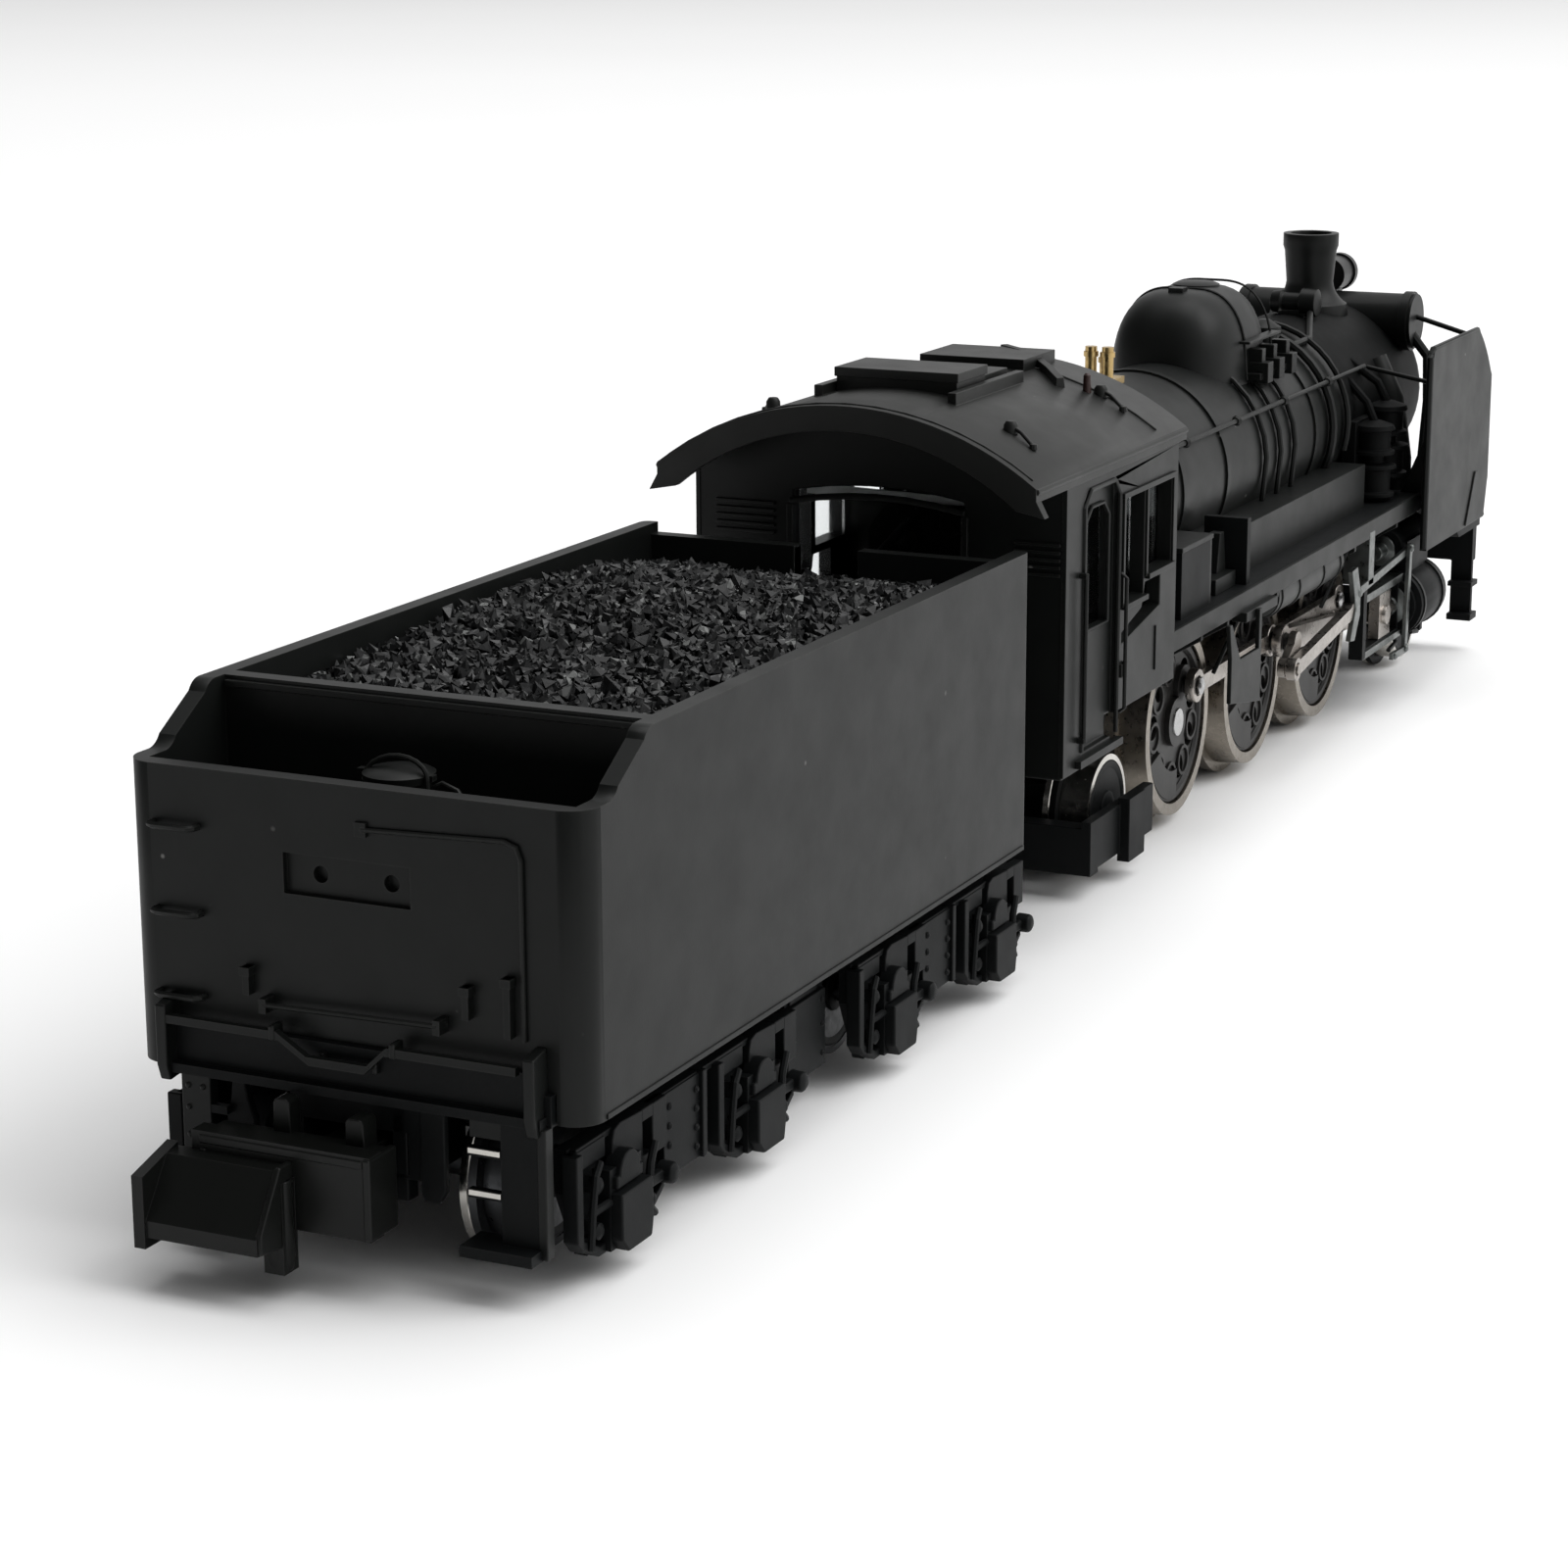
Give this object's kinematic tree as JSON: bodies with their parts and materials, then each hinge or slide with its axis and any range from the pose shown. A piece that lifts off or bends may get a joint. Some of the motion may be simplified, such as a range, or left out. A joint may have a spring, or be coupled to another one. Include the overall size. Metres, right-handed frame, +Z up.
{
  "type": "model steam locomotive with tender",
  "caption": "Small-gauge model steam locomotive with coupled driving wheels, working rods, smoke deflectors and a bogie tender carrying a moulded coal load.",
  "frame": {"origin": "centre of the bounding box at the bottom of the wheel flanges", "axes": "+X towards the front of the locomotive, +Y to its left, +Z up"},
  "size_m": [0.123, 0.0188, 0.026],
  "materials": {
    "satin_black_plastic": "satin black moulded plastic",
    "matt_black_plastic": "matt black moulded plastic",
    "coupler_black": "matt black acetal",
    "coal_black": "rough black moulded coal",
    "cast_metal": "dark die-cast metal",
    "rod_metal": "bare nickel-silver rods",
    "nickel_tyre": "turned nickel-plated tyres",
    "wheel_centre_black": "black moulded wheel centres",
    "dark_wheel_metal": "chemically blackened turned wheels",
    "steel": "bright steel",
    "brass": "turned brass",
    "valve_brass": "tarnished brass",
    "gear_plastic": "natural acetal",
    "lamp_black": "black moulded lamp",
    "clear_glazing": "clear moulded glazing",
    "motor_steel": "plated steel can",
    "board_green": "circuit board"
  },
  "bodies": {
    "locomotive": {"chassis_block": "cast_metal", "keeper_plate": "matt_black_plastic", "boiler_shell": "satin_black_plastic", "smokebox_door": "satin_black_plastic", "chimney": "satin_black_plastic", "steam_dome": "satin_black_plastic", "safety_valves": "valve_brass", "feedwater_heater": "satin_black_plastic", "headlight": "lamp_black", "running_boards": "matt_black_plastic", "cab_shell": "satin_black_plastic", "cab_roof": "satin_black_plastic", "cab_glazing": "clear_glazing", "backhead": "matt_black_plastic", "smoke_deflectors": "satin_black_plastic", "cylinder_block": "matt_black_plastic", "pilot_beam": "matt_black_plastic", "front_coupler": "coupler_black", "motor_case": "motor_steel", "light_board": "board_green"},
    "rear_driver": {"rear_driver_axle": "wheel_centre_black", "rear_driver_tyres": "nickel_tyre"},
    "middle_driver": {"middle_driver_axle": "wheel_centre_black", "middle_driver_tyres": "nickel_tyre", "driver_gear": "gear_plastic", "return_cranks": "rod_metal"},
    "front_driver": {"front_driver_axle": "wheel_centre_black", "front_driver_tyres": "nickel_tyre"},
    "idler": {"idler_gear": "gear_plastic"},
    "motor_drive": {"motor_armature": "steel", "flywheel": "brass", "worm": "brass"},
    "right_coupling_rod": {"coupling_rod_right": "rod_metal"},
    "right_main_rod": {"main_rod_right": "rod_metal"},
    "right_crosshead": {"crosshead_right": "rod_metal"},
    "right_eccentric_rod": {"eccentric_rod_right": "rod_metal"},
    "left_coupling_rod": {"coupling_rod_left": "rod_metal"},
    "left_main_rod": {"main_rod_left": "rod_metal"},
    "left_crosshead": {"crosshead_left": "rod_metal"},
    "left_eccentric_rod": {"eccentric_rod_left": "rod_metal"},
    "pony_truck": {"pony_truck_frame": "matt_black_plastic"},
    "pony_wheels": {"pony_wheelset": "dark_wheel_metal"},
    "trailing_truck": {"trailing_truck_frame": "matt_black_plastic"},
    "trailing_wheels": {"trailing_wheelset": "dark_wheel_metal"},
    "drawbar_link": {"drawbar": "steel"},
    "tender": {"tender_body": "satin_black_plastic", "coal_load": "coal_black", "tender_underframe": "matt_black_plastic", "tender_weight": "cast_metal", "filler_hatch": "satin_black_plastic", "uncoupling_lever": "satin_black_plastic", "bogie_screws": "steel", "coupler_spring": "steel"},
    "rear_hook": {"rear_coupler": "coupler_black"},
    "tender_rear_bogie": {"rear_bogie_frame": "matt_black_plastic"},
    "tender_front_bogie": {"front_bogie_frame": "matt_black_plastic"},
    "rear_bogie_rear_wheels": {"rear_bogie_rear_wheelset": "dark_wheel_metal"},
    "rear_bogie_front_wheels": {"rear_bogie_front_wheelset": "dark_wheel_metal"},
    "front_bogie_rear_wheels": {"front_bogie_rear_wheelset": "dark_wheel_metal"},
    "front_bogie_front_wheels": {"front_bogie_front_wheelset": "dark_wheel_metal"}
  },
  "joints": [
    {"name": "middle_driver_spin", "type": "hinge", "parent": "locomotive", "child": "middle_driver", "pos_m": [0.0242, 0, 0.0053], "axis": [0, 1, 0], "continuous": true},
    {"name": "rear_driver_spin", "type": "hinge", "parent": "locomotive", "child": "rear_driver", "pos_m": [0.0122, 0, 0.0053], "axis": [0, 1, 0], "continuous": true},
    {"name": "front_driver_spin", "type": "hinge", "parent": "locomotive", "child": "front_driver", "pos_m": [0.0362, 0, 0.0053], "axis": [0, 1, 0], "continuous": true},
    {"name": "idler_spin", "type": "hinge", "parent": "locomotive", "child": "idler", "pos_m": [0.0242, 0, 0.0107], "axis": [0, 1, 0], "continuous": true},
    {"name": "motor_spin", "type": "hinge", "parent": "locomotive", "child": "motor_drive", "pos_m": [0.0242, 0, 0.0149], "axis": [1, 0, 0], "continuous": true},
    {"name": "right_coupling_rod_pin", "type": "hinge", "parent": "middle_driver", "child": "right_coupling_rod", "pos_m": [0.0252, -0.0062, 0.00703], "axis": [0, 1, 0], "continuous": true},
    {"name": "right_main_rod_pin", "type": "hinge", "parent": "middle_driver", "child": "right_main_rod", "pos_m": [0.0252, -0.0069, 0.00703], "axis": [0, 1, 0], "continuous": true},
    {"name": "right_eccentric_rod_pin", "type": "hinge", "parent": "middle_driver", "child": "right_eccentric_rod", "pos_m": [0.02336, -0.0082, 0.00601], "axis": [0, 1, 0], "continuous": true},
    {"name": "right_crosshead_slide", "type": "slide", "parent": "locomotive", "child": "right_crosshead", "axis": [1, 0, 0], "range_m": [-0.00294, 0.00106]},
    {"name": "left_coupling_rod_pin", "type": "hinge", "parent": "middle_driver", "child": "left_coupling_rod", "pos_m": [0.02593, 0.0062, 0.0043], "axis": [0, 1, 0], "continuous": true},
    {"name": "left_main_rod_pin", "type": "hinge", "parent": "middle_driver", "child": "left_main_rod", "pos_m": [0.02593, 0.0069, 0.0043], "axis": [0, 1, 0], "continuous": true},
    {"name": "left_eccentric_rod_pin", "type": "hinge", "parent": "middle_driver", "child": "left_eccentric_rod", "pos_m": [0.02491, 0.0082, 0.00614], "axis": [0, 1, 0], "continuous": true},
    {"name": "left_crosshead_slide", "type": "slide", "parent": "locomotive", "child": "left_crosshead", "axis": [1, 0, 0], "range_m": [-0.00368, 0.00032]},
    {"name": "pony_truck_swing", "type": "hinge", "parent": "locomotive", "child": "pony_truck", "pos_m": [0.0414, 0, 0.003], "axis": [0, 0, 1], "range_deg": [-6, 6]},
    {"name": "pony_wheel_spin", "type": "hinge", "parent": "pony_truck", "child": "pony_wheels", "pos_m": [0.0534, 0, 0.0032], "axis": [0, 1, 0], "continuous": true},
    {"name": "trailing_truck_swing", "type": "hinge", "parent": "locomotive", "child": "trailing_truck", "pos_m": [0.0086, 0, 0.003], "axis": [0, 0, 1], "range_deg": [-5, 5]},
    {"name": "trailing_wheel_spin", "type": "hinge", "parent": "trailing_truck", "child": "trailing_wheels", "pos_m": [0.002, 0, 0.0032], "axis": [0, 1, 0], "continuous": true},
    {"name": "drawbar_swing", "type": "hinge", "parent": "locomotive", "child": "drawbar_link", "pos_m": [-0.006, 0, 0.0062], "axis": [0, 0, 1], "range_deg": [-8, 8]},
    {"name": "tender_swing", "type": "hinge", "parent": "drawbar_link", "child": "tender", "pos_m": [-0.0192, 0, 0.0062], "axis": [0, 0, 1], "range_deg": [-8, 8]},
    {"name": "rear_coupler_swing", "type": "hinge", "parent": "tender", "child": "rear_hook", "pos_m": [-0.0554, 0, 0.0044], "axis": [0, 0, 1], "range_deg": [-10, 10], "stiffness_Nm_per_rad": 0.00002},
    {"name": "tender_rear_bogie_swing", "type": "hinge", "parent": "tender", "child": "tender_rear_bogie", "pos_m": [-0.0473, 0, 0.004], "axis": [0, 0, 1], "range_deg": [-5, 5]},
    {"name": "rear_bogie_rear_wheel_spin", "type": "hinge", "parent": "tender_rear_bogie", "child": "rear_bogie_rear_wheels", "pos_m": [-0.0527, 0, 0.0032], "axis": [0, 1, 0], "continuous": true},
    {"name": "rear_bogie_front_wheel_spin", "type": "hinge", "parent": "tender_rear_bogie", "child": "rear_bogie_front_wheels", "pos_m": [-0.0419, 0, 0.0032], "axis": [0, 1, 0], "continuous": true},
    {"name": "tender_front_bogie_swing", "type": "hinge", "parent": "tender", "child": "tender_front_bogie", "pos_m": [-0.024, 0, 0.004], "axis": [0, 0, 1], "range_deg": [-5, 5]},
    {"name": "front_bogie_rear_wheel_spin", "type": "hinge", "parent": "tender_front_bogie", "child": "front_bogie_rear_wheels", "pos_m": [-0.0294, 0, 0.0032], "axis": [0, 1, 0], "continuous": true},
    {"name": "front_bogie_front_wheel_spin", "type": "hinge", "parent": "tender_front_bogie", "child": "front_bogie_front_wheels", "pos_m": [-0.0186, 0, 0.0032], "axis": [0, 1, 0], "continuous": true}
  ],
  "couplings": [
    {"joint": "rear_driver_spin", "follows": "middle_driver_spin", "ratio": 1},
    {"joint": "front_driver_spin", "follows": "middle_driver_spin", "ratio": 1},
    {"joint": "idler_spin", "follows": "middle_driver_spin", "ratio": -0.8},
    {"joint": "motor_spin", "follows": "middle_driver_spin", "ratio": 16},
    {"joint": "right_coupling_rod_pin", "follows": "middle_driver_spin", "ratio": -1},
    {"joint": "right_main_rod_pin", "follows": "middle_driver_spin", "ratio": -1},
    {"joint": "right_eccentric_rod_pin", "follows": "middle_driver_spin", "ratio": -1},
    {"joint": "left_coupling_rod_pin", "follows": "middle_driver_spin", "ratio": -1},
    {"joint": "left_main_rod_pin", "follows": "middle_driver_spin", "ratio": -1},
    {"joint": "left_eccentric_rod_pin", "follows": "middle_driver_spin", "ratio": -1}
  ]
}
